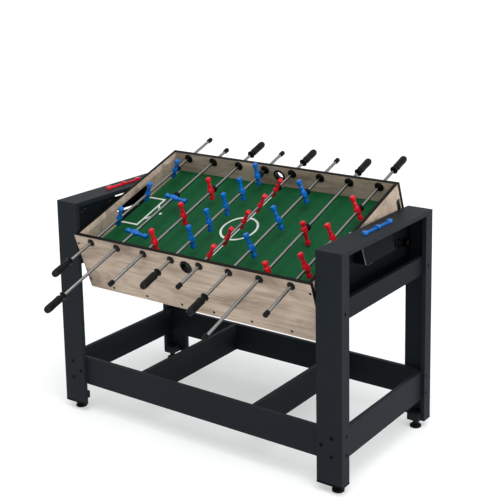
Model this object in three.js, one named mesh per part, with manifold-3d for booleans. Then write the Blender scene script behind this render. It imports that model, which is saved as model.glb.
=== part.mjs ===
// Multi game table: a base with two end frames, and a cabinet that turns between them.
// One side of the cabinet is a foosball field, the other side is a pool bed.
// Millimetres, +Z up, +X along the table, -Y to the front. The origin is on the floor at the table's centre.
import * as THREE from "three";
import { mergeVertices } from "three/addons/utils/BufferGeometryUtils.js";
import Module from "manifold-3d";

const wasm = await Module();
wasm.setup();

// Whole table
const tableLength = 1219;
const tableDepth = 610;
const tableHeight = 808;
const board = 15;
const seam = 0.3;

// Legs, seen from above as an L
const legFaceWidth = 96;
const legSideWidth = 45;
const legBottom = 30;
const footBlockWidth = 46;
const footBlockDepth = 46;
const footBlockHeight = 26;

// Levelling feet
const footRadius = 21;
const footEdgeHeight = 7;
const footConeTop = 13;
const footHubRadius = 10;
const footStemRadius = 4;
const footStemTop = 50;

// End frames, with heights measured down from the table's top
const panelDrop = 230;
const notchHalfWidth = 100;
const notchAbovePivot = 27.7;
const apronHeight = 67;
const trayFloor = 12;
const guardInset = 3;
const guardThickness = 4;
const guardBelowNotch = 10;
const guardTopDrop = 37;
const guardReachBottom = 48;
const guardReachTop = 31;
const guardRoot = 3;

// Lower rails
const railBottom = 110;
const railHeight = 105;
const crossRailShare = 0.4036;

// Scorers
const scorerLength = 186;
const scorerEndRadius = 11;
const scorerEndHeight = 11;
const scorerBarWidth = 11;
const scorerBarHeight = 7;
const markerLength = 15;
const markerWidth = 17;
const markerHeight = 10.5;

// Cabinet, with levels measured in from the nearer rim and pockets from the walls' inner faces
const cabinetGap = 5;
const cabinetHeight = 231.4;
const cabinetTilt = 19.7;
const fieldDrop = 84.7;
const fieldThickness = 9;
const goalHalfWidth = 90;
const goalDrop = 29.7;
const poolDrop = 35.7;
const poolBedThickness = 12;
const cushionWidth = 35;
const cornerPocketInset = 39.5;
const cornerPocketRadius = 34;
const middlePocketInset = 33.2;
const middlePocketRadius = 30;
const pocketWall = 2.5;
const pocketDepth = 42;
const pocketFloor = 3;
const pocketStripHalf = 16;
const pocketStripThickness = 4;

// Ball entries in the front and back walls
const entryDrop = 38.7;
const entryRadius = 18;
const entryRingRadius = 25;
const entryRingReach = 4;

// Pivot bolts
const pivotRadius = 10;
const pivotClearance = 0.4;
const pivotFlangeRadius = 28;
const pivotNutRadius = 18;
const pivotNutThickness = 12;

// Lock knobs
const lockInset = 45;
const lockPinRadius = 6;
const lockClearance = 0.4;
const lockKnobRadius = 17;
const lockKnobNeck = 9;
const lockKnobStart = 5;
const lockKnobLength = 20;

// Rods
const rodDrop = 21;
const rodRadius = 5.5;
const rodClearance = 0.4;
const outerFlangeRadius = 15;
const outerFlangeReach = 7;
const innerFlangeRadius = 18;
const innerFlangeReach = 5;
const capRadius = 9;
const capLength = 20;
const capWall = 0.6;
const bumperRadius = 12.5;
const bumperLength = 14;
const bumperClearance = 0.5;

// Handles, as radius and place along the grip
const handleLength = 90;
const handleEndWall = 8;
const handleCollarRadius = 15;
const handleCollarLength = 9;
const handleNeckRadius = 11;
const handleNeckLength = 13;
const handleGripRadius = 14;
const handleWaistRadius = 13;
const handleTipRadius = 11;
const handleTipStart = 83;
const handleWaistPlace = 45;
const handleGripStart = 18;

// Players, measured from the rod's axis
const playerFoot = 59.4;
const playerHead = 34;
const playerChin = 19;
const playerShoulder = 15;
const playerHip = 11;
const playerAnkle = 39;
const playerKnee = 30;
const headHalf = 9;
const neckHalf = 4.5;
const shoulderHalf = 11;
const hipHalf = 8;
const ankleHalf = 4.5;
const footHalf = 9.5;
const headDepthHalf = 7.5;
const chestDepthHalf = 8;
const legDepthHalf = 5;
const footDepthHalf = 8;
const toeHeight = 12;

// Rods slide until a player or the bumper is this close to the bushing
const slideStop = 1.9;

// What is left between the wall's bushing and the handle or the cap at the end of the slide
const handleGap = 42.5;
const twoCapGap = 4.3;
const threeCapGap = 0.8;
const fiveCapGap = 12.8;

// From one player to the next, as shares of the pit's depth
const twoSpacingShare = 0.4056;
const threeSpacingShare = 0.2951;
const fiveSpacingShare = 0.1812;

const two = { count: 2, spacingShare: twoSpacingShare, capGap: twoCapGap };
const three = { count: 3, spacingShare: threeSpacingShare, capGap: threeCapGap };
const five = { count: 5, spacingShare: fiveSpacingShare, capGap: fiveCapGap };

// Each rod, from the left end: its players, their colour, the side its handle is on,
// where it rests as a share of its travel, and its turn in degrees from feet straight up
const rods = [
  { team: three, colour: "blue", side: -1, slideShare: 0.289, turn: 30 },
  { team: two, colour: "blue", side: -1, slideShare: -0.629, turn: 98 },
  { team: three, colour: "red", side: 1, slideShare: -0.786, turn: 3 },
  { team: five, colour: "blue", side: -1, slideShare: 0.589, turn: 3 },
  { team: five, colour: "red", side: 1, slideShare: -0.737, turn: 35 },
  { team: three, colour: "blue", side: -1, slideShare: 0.046, turn: -10 },
  { team: two, colour: "red", side: 1, slideShare: -0.996, turn: 178 },
  { team: three, colour: "red", side: 1, slideShare: -0.462, turn: -11 },
];

// Facets around round pieces
const fineSides = 16;
const plainSides = 12;

// Derived places
const halfLength = tableLength / 2;
const halfDepth = tableDepth / 2;
const endInner = halfLength - legFaceWidth;
const cabinetHalfLength = endInner - cabinetGap;
const cabinetHalfDepth = halfDepth - seam;
const cabinetHalfHeight = cabinetHeight / 2;
const innerHalfLength = cabinetHalfLength - board;
const innerHalfDepth = cabinetHalfDepth - board;
const pivotHeight = tableHeight - cabinetHalfHeight;
const notchBottom = pivotHeight + notchAbovePivot;
const guardBottom = notchBottom - guardBelowNotch;
const guardTop = tableHeight - guardTopDrop;
const panelOuter = endInner + board;
const legBoardInner = halfDepth - board;
const sideBoardInner = halfLength - board;
const topBoardBottom = tableHeight - board;
const panelBottom = tableHeight - panelDrop;
const fieldLevel = cabinetHalfHeight - fieldDrop;
const poolLevel = poolDrop - cabinetHalfHeight;
const lockY = legBoardInner - lockInset;
const rodHeight = cabinetHalfHeight - rodDrop;
const rodSpacing = 2 * innerHalfLength / rods.length;
const footX = sideBoardInner - footBlockWidth / 2;
const footY = legBoardInner - footBlockDepth / 2;
const overshoot = 2 * board;
const turnDegree = Math.PI / 180;

const materials = {
  charcoal: { color: 0x2b2f33, roughness: 0.55, metalness: 0 },
  oak: { color: 0xb9a88f, roughness: 0.6, metalness: 0 },
  field: { color: 0x1c5c34, roughness: 0.8, metalness: 0 },
  cloth: { color: 0x0b7a3b, roughness: 0.95, metalness: 0 },
  cushion: { color: 0x16924a, roughness: 0.95, metalness: 0 },
  black: { color: 0x141516, roughness: 0.45, metalness: 0 },
  blue: { color: 0x1453b4, roughness: 0.3, metalness: 0 },
  red: { color: 0xc4202e, roughness: 0.3, metalness: 0 },
};

// Solids

function solidOf(geometry) {
  const plain = geometry.clone();
  plain.deleteAttribute("normal");
  plain.deleteAttribute("uv");
  const merged = mergeVertices(plain);
  const vertProperties = new Float32Array(merged.attributes.position.array);
  const triVerts = new Uint32Array(merged.index.array);
  return new wasm.Manifold(new wasm.Mesh({ numProp: 3, vertProperties, triVerts }));
}

function geometryOf(solid) {
  const mesh = solid.getMesh();
  const geometry = new THREE.BufferGeometry();
  geometry.setAttribute("position", new THREE.Float32BufferAttribute(mesh.vertProperties, 3));
  geometry.setIndex(new THREE.BufferAttribute(new Uint32Array(mesh.triVerts), 1));
  geometry.computeVertexNormals();
  return geometry;
}

// A box given by its low and high corners
function boxGeometry(low, high) {
  const geometry = new THREE.BoxGeometry(high[0] - low[0], high[1] - low[1], high[2] - low[2]);
  geometry.translate((low[0] + high[0]) / 2, (low[1] + high[1]) / 2, (low[2] + high[2]) / 2);
  return geometry;
}

function box(low, high) {
  return solidOf(boxGeometry(low, high));
}

// A straight cylinder along Y, from one place to another, around (x, z)
function cylinderY(radius, from, to, x, z, sides) {
  const geometry = new THREE.CylinderGeometry(radius, radius, to - from, sides);
  geometry.translate(x, (from + to) / 2, z);
  return solidOf(geometry);
}

function cylinderX(radius, from, to, y, z, sides) {
  const geometry = new THREE.CylinderGeometry(radius, radius, to - from, sides);
  geometry.rotateZ(-Math.PI / 2);
  geometry.translate((from + to) / 2, y, z);
  return solidOf(geometry);
}

function cylinderZ(radius, from, to, x, y, sides) {
  const geometry = new THREE.CylinderGeometry(radius, radius, to - from, sides);
  geometry.rotateX(Math.PI / 2);
  geometry.translate(x, y, (from + to) / 2);
  return solidOf(geometry);
}

// A closed profile of [radius, place] pairs turned around Y
function turned(profile, sides) {
  const points = profile.map(([radius, place]) => new THREE.Vector2(radius, place));
  return new THREE.LatheGeometry(points, sides);
}

// A flat outline of [across, up] pairs with thickness, centred on zero
function slab(outline, thickness) {
  const shape = new THREE.Shape(outline.map(([across, up]) => new THREE.Vector2(across, up)));
  const geometry = new THREE.ExtrudeGeometry(shape, { depth: thickness, bevelEnabled: false });
  geometry.translate(0, 0, -thickness / 2);
  return geometry;
}

const table = new THREE.Group();

function addMesh(parent, name, geometry, look) {
  const mesh = new THREE.Mesh(geometry, new THREE.MeshStandardMaterial(materials[look]));
  mesh.name = name;
  parent.add(mesh);
  return mesh;
}

const ends = [
  { name: "left", sign: -1 },
  { name: "right", sign: 1 },
];
const faces = [
  { name: "front", sign: -1 },
  { name: "back", sign: 1 },
];

// Legs, drawn for the right back corner and turned over to the other corners

function mirrored(solid, signX, signY) {
  return solid.scale([signX, signY, 1]);
}

function legSolid() {
  const top = topBoardBottom - seam;
  const face = box([endInner, legBoardInner, legBottom], [halfLength, halfDepth, top]);
  const side = box([sideBoardInner, halfDepth - legSideWidth, legBottom], [halfLength, halfDepth, top]);
  const block = box(
    [sideBoardInner - footBlockWidth, legBoardInner - footBlockDepth, legBottom],
    [sideBoardInner + seam, legBoardInner + seam, legBottom + footBlockHeight],
  );
  const socket = cylinderZ(
    footStemRadius + seam, legBottom - overshoot, footStemTop + seam, footX, footY, plainSides);
  return face.add(side).add(block).subtract(socket);
}

function footGeometry() {
  const geometry = turned([
    [0, 0],
    [footRadius, 0],
    [footRadius, footEdgeHeight],
    [footHubRadius, footConeTop],
    [footHubRadius, legBottom - seam],
    [footStemRadius, legBottom - seam],
    [footStemRadius, footStemTop],
    [0, footStemTop],
  ], plainSides);
  geometry.rotateX(Math.PI / 2);
  return geometry;
}

for (const end of ends) {
  for (const face of faces) {
    const corner = `${face.name}_${end.name}`;
    const leg = mirrored(legSolid(), end.sign, face.sign);
    addMesh(table, `leg_${corner}`, geometryOf(leg), "charcoal");
    const foot = addMesh(table, `foot_${corner}`, footGeometry(), "black");
    foot.position.set(end.sign * footX, face.sign * footY, 0);
  }
}

// End frames

// How far the guard's plate leans in for each unit of its height
function guardLean() {
  return (guardReachBottom - guardReachTop) / (guardTop - guardBottom);
}

// The guard behind a goal: two wings and a leaning plate, rooted in the panel's outer face
function guardSolid() {
  const halfWidth = notchHalfWidth - guardInset;
  const root = panelOuter - guardRoot;
  const bottomReach = panelOuter + guardReachBottom;
  const topReach = panelOuter + guardReachTop;
  const outside = slab([
    [root, guardBottom],
    [bottomReach, guardBottom],
    [topReach, guardTop],
    [root, guardTop],
  ], 2 * halfWidth);
  const inside = slab([
    [root - overshoot, guardBottom - overshoot],
    [bottomReach - guardThickness + overshoot * guardLean(), guardBottom - overshoot],
    [topReach - guardThickness - overshoot * guardLean(), guardTop + overshoot],
    [root - overshoot, guardTop + overshoot],
  ], 2 * (halfWidth - guardThickness));
  outside.rotateX(Math.PI / 2);
  inside.rotateX(Math.PI / 2);
  return solidOf(outside).subtract(solidOf(inside));
}

function sidePanelSolid() {
  const reach = legBoardInner - seam;
  const panel = box([endInner, -reach, panelBottom], [panelOuter, reach, topBoardBottom - seam]);
  const notch = box(
    [endInner - overshoot, -notchHalfWidth, notchBottom],
    [panelOuter + overshoot, notchHalfWidth, topBoardBottom + overshoot],
  );
  const across = [endInner - overshoot, panelOuter + overshoot];
  const pivotHole = cylinderX(
    pivotRadius + pivotClearance, across[0], across[1], 0, pivotHeight, plainSides);
  const lockHole = cylinderX(
    lockPinRadius + lockClearance, across[0], across[1], lockY, pivotHeight, plainSides);
  return panel.subtract(notch).add(guardSolid()).subtract(pivotHole).subtract(lockHole);
}

// The apron board and the tray floor behind it
function ballTraySolid() {
  const reach = legBoardInner - seam;
  const outer = sideBoardInner - seam;
  const apron = box([outer - board, -reach, panelBottom], [outer, reach, panelBottom + apronHeight]);
  const floor = box([panelOuter + seam, -reach, panelBottom], [outer, reach, panelBottom + trayFloor]);
  return apron.add(floor);
}

const scorerX = halfLength - legFaceWidth / 2 + seam;
const scorerTop = tableHeight + seam;

function scorerSolid() {
  const endPlace = scorerLength / 2 - scorerEndRadius;
  const barBottom = scorerTop;
  let solid = box(
    [-scorerBarWidth / 2, -endPlace, barBottom],
    [scorerBarWidth / 2, endPlace, barBottom + scorerBarHeight],
  );
  for (const sign of [-1, 1]) {
    solid = solid.add(cylinderZ(
      scorerEndRadius, barBottom, barBottom + scorerEndHeight, 0, sign * endPlace, plainSides));
  }
  return solid;
}

function markerSolid() {
  const saddle = scorerBarWidth / 2 + seam;
  const block = box(
    [-markerWidth / 2, -markerLength / 2, scorerTop],
    [markerWidth / 2, markerLength / 2, scorerTop + markerHeight],
  );
  const channel = box(
    [-saddle, -markerLength, scorerTop - overshoot],
    [saddle, markerLength, scorerTop + scorerBarHeight + seam],
  );
  return block.subtract(channel);
}

// The pin rests just off the cabinet's end wall and passes through the side panel
function lockKnobGeometry() {
  const pinTip = cabinetHalfLength + seam;
  const knobStart = panelOuter + lockKnobStart;
  const knobEnd = knobStart + lockKnobLength;
  const rim = lockKnobLength / 5;
  const geometry = turned([
    [0, pinTip],
    [lockPinRadius, pinTip],
    [lockPinRadius, panelOuter + seam],
    [lockKnobNeck, panelOuter + seam],
    [lockKnobNeck, knobStart],
    [lockKnobRadius, knobStart + rim],
    [lockKnobRadius, knobEnd - rim],
    [lockKnobNeck, knobEnd],
    [0, knobEnd],
  ], plainSides);
  geometry.rotateZ(-Math.PI / 2);
  return geometry;
}

for (const end of ends) {
  const top = addMesh(
    table,
    `end_top_${end.name}`,
    boxGeometry(
      [-legFaceWidth / 2, -halfDepth, topBoardBottom],
      [legFaceWidth / 2, halfDepth, tableHeight],
    ),
    "charcoal",
  );
  top.position.x = end.sign * (halfLength - legFaceWidth / 2);

  const frame = new THREE.Group();
  frame.rotation.z = end.sign > 0 ? 0 : Math.PI;
  table.add(frame);
  addMesh(frame, `side_panel_${end.name}`, geometryOf(sidePanelSolid()), "charcoal");
  addMesh(frame, `ball_tray_${end.name}`, geometryOf(ballTraySolid()), "charcoal");
  const knob = addMesh(frame, `lock_knob_${end.name}`, lockKnobGeometry(), "black");
  knob.position.set(0, lockY, pivotHeight);

  const colour = end.sign > 0 ? "blue" : "red";
  const scorer = addMesh(frame, `scorer_${end.name}`, geometryOf(scorerSolid()), colour);
  scorer.position.x = scorerX;
  const marker = addMesh(frame, `score_marker_${end.name}`, geometryOf(markerSolid()), colour);
  marker.position.x = scorerX;
}

// Lower rails

const railTop = railBottom + railHeight;

for (const end of ends) {
  const outer = sideBoardInner - seam;
  const reach = legBoardInner - seam;
  const rail = addMesh(
    table,
    `end_rail_${end.name}`,
    boxGeometry([-board / 2, -reach, railBottom], [board / 2, reach, railTop]),
    "charcoal",
  );
  rail.position.x = end.sign * (outer - board / 2);

  const crossReach = reach - board - seam;
  const cross = addMesh(
    table,
    `cross_rail_${end.name}`,
    boxGeometry([-board / 2, -crossReach, railBottom], [board / 2, crossReach, railTop]),
    "charcoal",
  );
  cross.position.x = end.sign * crossRailShare * halfLength;
}

for (const face of faces) {
  const reach = sideBoardInner - board - 2 * seam;
  const rail = addMesh(
    table,
    `long_rail_${face.name}`,
    boxGeometry([-reach, -board / 2, railBottom], [reach, board / 2, railTop]),
    "charcoal",
  );
  rail.position.y = face.sign * (legBoardInner - seam - board / 2);
}

// Cabinet, drawn level around its pivot axis and then tilted

const cabinet = new THREE.Group();
cabinet.position.z = pivotHeight;
cabinet.rotation.x = cabinetTilt * turnDegree;
table.add(cabinet);

const rodPlaces = rods.map((rod, i) => (i - (rods.length - 1) / 2) * rodSpacing);
const entryHeight = cabinetHalfHeight - entryDrop;

// The long wall on the +Y side, with a bushing for each rod and the ball entry
function longWallSolid() {
  const inner = innerHalfDepth;
  const outer = cabinetHalfDepth;
  const from = inner - overshoot;
  const to = outer + overshoot;
  let wall = box(
    [-cabinetHalfLength, inner, -cabinetHalfHeight],
    [cabinetHalfLength, outer, cabinetHalfHeight],
  );
  let holes = cylinderY(entryRadius, from, to, 0, entryHeight, fineSides);
  wall = wall.add(cylinderY(
    entryRingRadius, inner - entryRingReach, outer + entryRingReach, 0, entryHeight, fineSides));
  for (const x of rodPlaces) {
    wall = wall.add(cylinderY(
      outerFlangeRadius, outer - seam, outer + outerFlangeReach, x, rodHeight, plainSides));
    wall = wall.add(cylinderY(
      innerFlangeRadius, inner - innerFlangeReach, inner + seam, x, rodHeight, plainSides));
    holes = holes.add(cylinderY(rodRadius + rodClearance, from, to, x, rodHeight, plainSides));
  }
  return wall.subtract(holes);
}

for (const face of faces) {
  const mesh = addMesh(cabinet, `wall_${face.name}`, geometryOf(longWallSolid()), "oak");
  mesh.rotation.z = face.sign > 0 ? 0 : Math.PI;
}

// The pivot bolt fixed in the end wall: a flange in the gap to the side panel, a shaft through the panel
// and a nut behind it
function pivotGeometry() {
  const flangeTo = endInner - seam;
  const nutFrom = panelOuter + seam;
  const geometry = turned([
    [0, cabinetHalfLength - seam],
    [pivotFlangeRadius, cabinetHalfLength - seam],
    [pivotFlangeRadius, flangeTo],
    [pivotRadius, flangeTo],
    [pivotRadius, nutFrom],
    [pivotNutRadius, nutFrom],
    [pivotNutRadius, nutFrom + pivotNutThickness],
    [0, nutFrom + pivotNutThickness],
  ], plainSides);
  geometry.rotateZ(-Math.PI / 2);
  return geometry;
}

// The end wall on the +X side, with the goal mouth, two lock holes and its pivot bolt
function endWallSolid() {
  const reach = innerHalfDepth - seam;
  const from = innerHalfLength - overshoot;
  const to = cabinetHalfLength + overshoot;
  let wall = box(
    [innerHalfLength, -reach, -cabinetHalfHeight],
    [cabinetHalfLength, reach, cabinetHalfHeight],
  );
  const goalTop = cabinetHalfHeight - goalDrop;
  wall = wall.subtract(box([from, -goalHalfWidth, fieldLevel], [to, goalHalfWidth, goalTop]));
  for (const sign of [-1, 1]) {
    wall = wall.subtract(cylinderX(
      lockPinRadius + lockClearance, from, to, sign * lockY, 0, plainSides));
  }
  return wall.add(solidOf(pivotGeometry()));
}

for (const end of ends) {
  const turn = end.sign > 0 ? 0 : Math.PI;
  const wall = addMesh(cabinet, `wall_${end.name}`, geometryOf(endWallSolid()), "oak");
  wall.rotation.z = turn;
}

const insideX = innerHalfLength - seam;
const insideY = innerHalfDepth - seam;

addMesh(
  cabinet,
  "foosball_field",
  boxGeometry(
    [-insideX, -insideY, fieldLevel - fieldThickness],
    [insideX, insideY, fieldLevel],
  ),
  "field",
);

// Pool side, which faces down while the foosball side is up

const cornerX = innerHalfLength - cornerPocketInset;
const cornerY = innerHalfDepth - cornerPocketInset;
const middleY = innerHalfDepth - middlePocketInset;
const pocketPairs = [
  { x: -cornerX, reach: cornerY, radius: cornerPocketRadius },
  { x: 0, reach: middleY, radius: middlePocketRadius },
  { x: cornerX, reach: cornerY, radius: cornerPocketRadius },
];

function withPocketHoles(solid, from, to) {
  let cut = solid;
  for (const { x, reach, radius } of pocketPairs) {
    for (const sign of [-1, 1]) {
      cut = cut.subtract(cylinderZ(radius, from, to, x, sign * reach, fineSides));
    }
  }
  return cut;
}

// A block from a middle pocket's centre line out past the long wall's inner face
function middleNotch(sign, from, to) {
  return box(
    [-middlePocketRadius, sign > 0 ? middleY : -innerHalfDepth, from],
    [middlePocketRadius, sign > 0 ? innerHalfDepth : -middleY, to],
  );
}

// Blocks from a corner pocket's circle out past both walls' inner faces
function cornerNotch(signX, signY, from, to) {
  const nearX = cornerX - cornerPocketRadius;
  const nearY = cornerY - cornerPocketRadius;
  const block = (startX, startY) => box([startX, startY, from], [innerHalfLength, innerHalfDepth, to]);
  const notch = block(nearX, cornerY).add(block(cornerX, nearY));
  return notch.scale([signX, signY, 1]);
}

function ring(halfX, halfY, width, from, to) {
  const outside = box([-halfX, -halfY, from], [halfX, halfY, to]);
  const inside = box(
    [width - halfX, width - halfY, from - overshoot],
    [halfX - width, halfY - width, to + overshoot],
  );
  return outside.subtract(inside);
}

// The bed, whose pocket holes are open to the walls
const bedTop = poolLevel + poolBedThickness;
function bedSolid() {
  const from = poolLevel - overshoot;
  const to = bedTop + overshoot;
  let bed = box([-insideX, -insideY, poolLevel], [insideX, insideY, bedTop]);
  for (const signY of [-1, 1]) {
    bed = bed.subtract(middleNotch(signY, from, to));
    for (const signX of [-1, 1]) {
      bed = bed.subtract(cornerNotch(signX, signY, from, to));
    }
  }
  return withPocketHoles(bed, from, to);
}

addMesh(cabinet, "pool_bed", geometryOf(bedSolid()), "cloth");

// The cushions of the +X half, which end at the middle pockets
const cushionTop = poolLevel - seam;
function cushionSolid() {
  const from = -cabinetHalfHeight - overshoot;
  const to = cushionTop + overshoot;
  let cushions = ring(insideX, insideY, cushionWidth, seam - cabinetHalfHeight, cushionTop);
  cushions = cushions.subtract(box(
    [-innerHalfLength, -innerHalfDepth, from],
    [middlePocketRadius, innerHalfDepth, to],
  ));
  return withPocketHoles(cushions, from, to);
}

for (const end of ends) {
  const cushions = addMesh(cabinet, `pool_cushions_${end.name}`, geometryOf(cushionSolid()), "cushion");
  cushions.rotation.z = end.sign > 0 ? 0 : Math.PI;
}

// Three cups on flat strips, above the bed while the pool side faces down: the corner cups
// of the +X end and the middle cup of the back
function pocketCupsSolid() {
  const from = bedTop + seam;
  const to = from + pocketDepth;
  const stripTop = from + pocketStripThickness;
  const cups = [
    { x: cornerX, y: -cornerY, radius: cornerPocketRadius },
    { x: cornerX, y: cornerY, radius: cornerPocketRadius },
    { x: 0, y: middleY, radius: middlePocketRadius },
  ];
  let solid = box(
    [cornerX - pocketStripHalf, -cornerY, from],
    [cornerX + pocketStripHalf, cornerY, stripTop],
  );
  solid = solid.add(box(
    [0, middleY - pocketStripHalf, from],
    [cornerX, middleY + pocketStripHalf, stripTop],
  ));
  for (const { x, y, radius } of cups) {
    solid = solid.add(cylinderZ(radius + pocketWall, from, to, x, y, fineSides));
  }
  for (const { x, y, radius } of cups) {
    solid = solid.subtract(cylinderZ(
      radius, from - overshoot, to - pocketFloor, x, y, fineSides));
  }
  return solid;
}

for (const end of ends) {
  const cups = addMesh(cabinet, `pocket_cups_${end.name}`, geometryOf(pocketCupsSolid()), "black");
  cups.rotation.z = end.sign > 0 ? 0 : Math.PI;
}

// Rods, drawn with the handle on the +Y end and the players' feet up

function playerSolid(place) {
  const front = slab([
    [-headHalf, -playerHead],
    [headHalf, -playerHead],
    [headHalf, -playerChin],
    [neckHalf, -playerChin],
    [shoulderHalf, -playerShoulder],
    [shoulderHalf, 0],
    [hipHalf, playerHip],
    [ankleHalf, playerAnkle],
    [footHalf, playerFoot - toeHeight],
    [footHalf, playerFoot],
    [-footHalf, playerFoot],
    [-footHalf, playerFoot - toeHeight],
    [-ankleHalf, playerAnkle],
    [-hipHalf, playerHip],
    [-shoulderHalf, 0],
    [-shoulderHalf, -playerShoulder],
    [-neckHalf, -playerChin],
    [-headHalf, -playerChin],
  ], 2 * chestDepthHalf);
  front.rotateX(Math.PI / 2);
  front.rotateZ(Math.PI / 2);
  const side = slab([
    [-headDepthHalf, -playerHead],
    [headDepthHalf, -playerHead],
    [headDepthHalf, -playerChin],
    [chestDepthHalf, -playerShoulder],
    [chestDepthHalf, playerHip],
    [legDepthHalf, playerKnee],
    [legDepthHalf, playerAnkle],
    [footDepthHalf, playerFoot - toeHeight],
    [footDepthHalf, playerFoot],
    [-footDepthHalf, playerFoot],
    [-footDepthHalf, playerFoot - toeHeight],
    [-legDepthHalf, playerAnkle],
    [-legDepthHalf, playerKnee],
    [-chestDepthHalf, playerHip],
    [-chestDepthHalf, -playerShoulder],
    [-headDepthHalf, -playerChin],
  ], 2 * shoulderHalf);
  side.rotateX(Math.PI / 2);
  return solidOf(front).intersect(solidOf(side)).translate([0, place, 0]);
}

// Sizes of a rod from its players: the last one's place, the travel each way and the rod's two ends
function rodSizes(team) {
  const spacing = team.spacingShare * 2 * innerHalfDepth;
  const last = (team.count - 1) / 2 * spacing;
  const bumperStart = last + shoulderHalf + seam;
  const travel = innerHalfDepth - innerFlangeReach - slideStop - bumperLength - bumperStart;
  const bushing = cabinetHalfDepth + outerFlangeReach + travel;
  return {
    spacing,
    last,
    bumperStart,
    travel,
    handleEnd: bushing + handleGap + handleLength,
    capEnd: bushing + team.capGap + capLength,
  };
}

function rodSolid(sizes) {
  const rodEnd = sizes.handleEnd - handleEndWall - seam;
  let solid = cylinderY(rodRadius, -sizes.capEnd, rodEnd, 0, 0, plainSides);
  solid = solid.add(cylinderY(
    capRadius, -sizes.capEnd - capWall, capLength - sizes.capEnd, 0, 0, plainSides));
  for (let place = -sizes.last; place < sizes.last + sizes.spacing / 2; place += sizes.spacing) {
    solid = solid.add(playerSolid(place));
  }
  return solid;
}

function handleGeometry() {
  const bore = rodRadius + seam;
  const boreEnd = handleLength - handleEndWall;
  return turned([
    [0, boreEnd],
    [bore, boreEnd],
    [bore, 0],
    [handleCollarRadius, 0],
    [handleCollarRadius, handleCollarLength],
    [handleNeckRadius, handleNeckLength],
    [handleGripRadius, handleGripStart],
    [handleWaistRadius, handleWaistPlace],
    [handleGripRadius, handleTipStart],
    [handleTipRadius, handleLength],
    [0, handleLength],
  ], plainSides);
}

function bumperGeometry() {
  const bore = rodRadius + bumperClearance;
  return turned([
    [bore, 0],
    [bumperRadius, 0],
    [bumperRadius, bumperLength],
    [bore, bumperLength],
    [bore, 0],
  ], plainSides);
}

rods.forEach((rod, i) => {
  const number = i + 1;
  const sizes = rodSizes(rod.team);
  const carrier = new THREE.Group();
  carrier.position.set(rodPlaces[i], rod.slideShare * sizes.travel, rodHeight);
  cabinet.add(carrier);

  const spun = new THREE.Group();
  spun.rotation.y = rod.turn * turnDegree;
  carrier.add(spun);

  const turnedRound = new THREE.Group();
  turnedRound.rotation.z = rod.side > 0 ? 0 : Math.PI;
  spun.add(turnedRound);
  addMesh(turnedRound, `rod_${number}`, geometryOf(rodSolid(sizes)), rod.colour);
  const handle = addMesh(turnedRound, `handle_${number}`, handleGeometry(), "black");
  handle.position.y = sizes.handleEnd - handleLength;

  // The bumper sits behind the last player, on the back side of every rod
  const bumper = addMesh(carrier, `bumper_${number}`, bumperGeometry(), "black");
  bumper.position.y = sizes.bumperStart;
});

export default table;
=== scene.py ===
import math
import bmesh
import bpy
from mathutils import Matrix, Vector


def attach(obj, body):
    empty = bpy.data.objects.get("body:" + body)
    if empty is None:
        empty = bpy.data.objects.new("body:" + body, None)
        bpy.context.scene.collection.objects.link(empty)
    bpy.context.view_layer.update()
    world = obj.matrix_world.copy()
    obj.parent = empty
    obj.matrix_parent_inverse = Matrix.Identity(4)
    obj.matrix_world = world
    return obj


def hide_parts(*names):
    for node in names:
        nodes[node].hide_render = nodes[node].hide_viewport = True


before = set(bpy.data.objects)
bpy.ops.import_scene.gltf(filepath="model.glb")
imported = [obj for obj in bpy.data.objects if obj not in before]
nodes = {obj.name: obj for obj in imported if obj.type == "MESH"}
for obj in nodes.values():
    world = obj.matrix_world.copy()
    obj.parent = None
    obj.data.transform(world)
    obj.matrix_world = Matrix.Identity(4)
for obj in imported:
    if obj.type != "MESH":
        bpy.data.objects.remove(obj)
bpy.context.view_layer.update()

# Lengths are in mm and angles in degrees, unless a comment says otherwise.
MM = 0.001
TINY = 1e-6
ORIGIN = (0, 0, 0)
ENDS = (("left", -1), ("right", 1))
FACES = (("front", -1), ("back", 1))
SEAM = 0.3  # play between neighbouring pieces
BOARD = 15.0  # thickness of the cabinet's walls

# the base: outer faces of the legs, centres of the feet, inner and outer faces of the side
# panels, height of the pivots, places of the lock knobs and the scorers
LEG_X, LEG_Y = 609.5, 304.8
FOOT_X, FOOT_Y = 571.5, 267
PANEL_IN_X, PANEL_OUT_X = 513.5, 528.5
PIVOT_Z = 692.3
LOCK_Y = 245
SCORER_X, SCORER_Z = 561.8, 808.3

# the cabinet, level and measured from its pivot: half sizes outside and inside, heights of
# the rods, the ball entries, the field and the pool bed
HALF_L, HALF_D, HALF_H = 508.5, 304.7, 115.7
IN_L, IN_D = HALF_L - BOARD, HALF_D - BOARD
ROD_Z, ENTRY_Z, FIELD_Z, POOL_Z = 94.7, 77.0, 31.0, -80.0
TILT = 19.7
CAB = Matrix.Translation((0, 0, PIVOT_Z * MM)) @ Matrix.Rotation(math.radians(TILT), 4, "X")

# the rods from the left: players, colour, side of the grip, place in the travel from -1 to 1, turn
RODS = [
    (3, "blue", -1, 0.289, 30), (2, "blue", -1, -0.629, 98),
    (3, "red", 1, -0.786, 3), (5, "blue", -1, 0.589, 3),
    (5, "red", 1, -0.737, 35), (3, "blue", -1, 0.046, -10),
    (2, "red", 1, -0.996, 178), (3, "red", 1, -0.462, -11),
]
ROD_X = [(i - (len(RODS) - 1) / 2) * 2 * IN_L / len(RODS) for i in range(len(RODS))]
SHARES = {2: 0.4056, 3: 0.2951, 5: 0.1812}  # step between players, as a share of the inner depth
CAP_GAP = {2: 4.3, 3: 0.8, 5: 12.8}  # bare rod left at the cap when the rod is pushed in


# ---------------------------------------------------------------- materials

def new_mat(name):
    m = bpy.data.materials.new(name)
    m.use_nodes = True
    nt = m.node_tree
    return m, nt, nt.nodes["Principled BSDF"]


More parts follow.
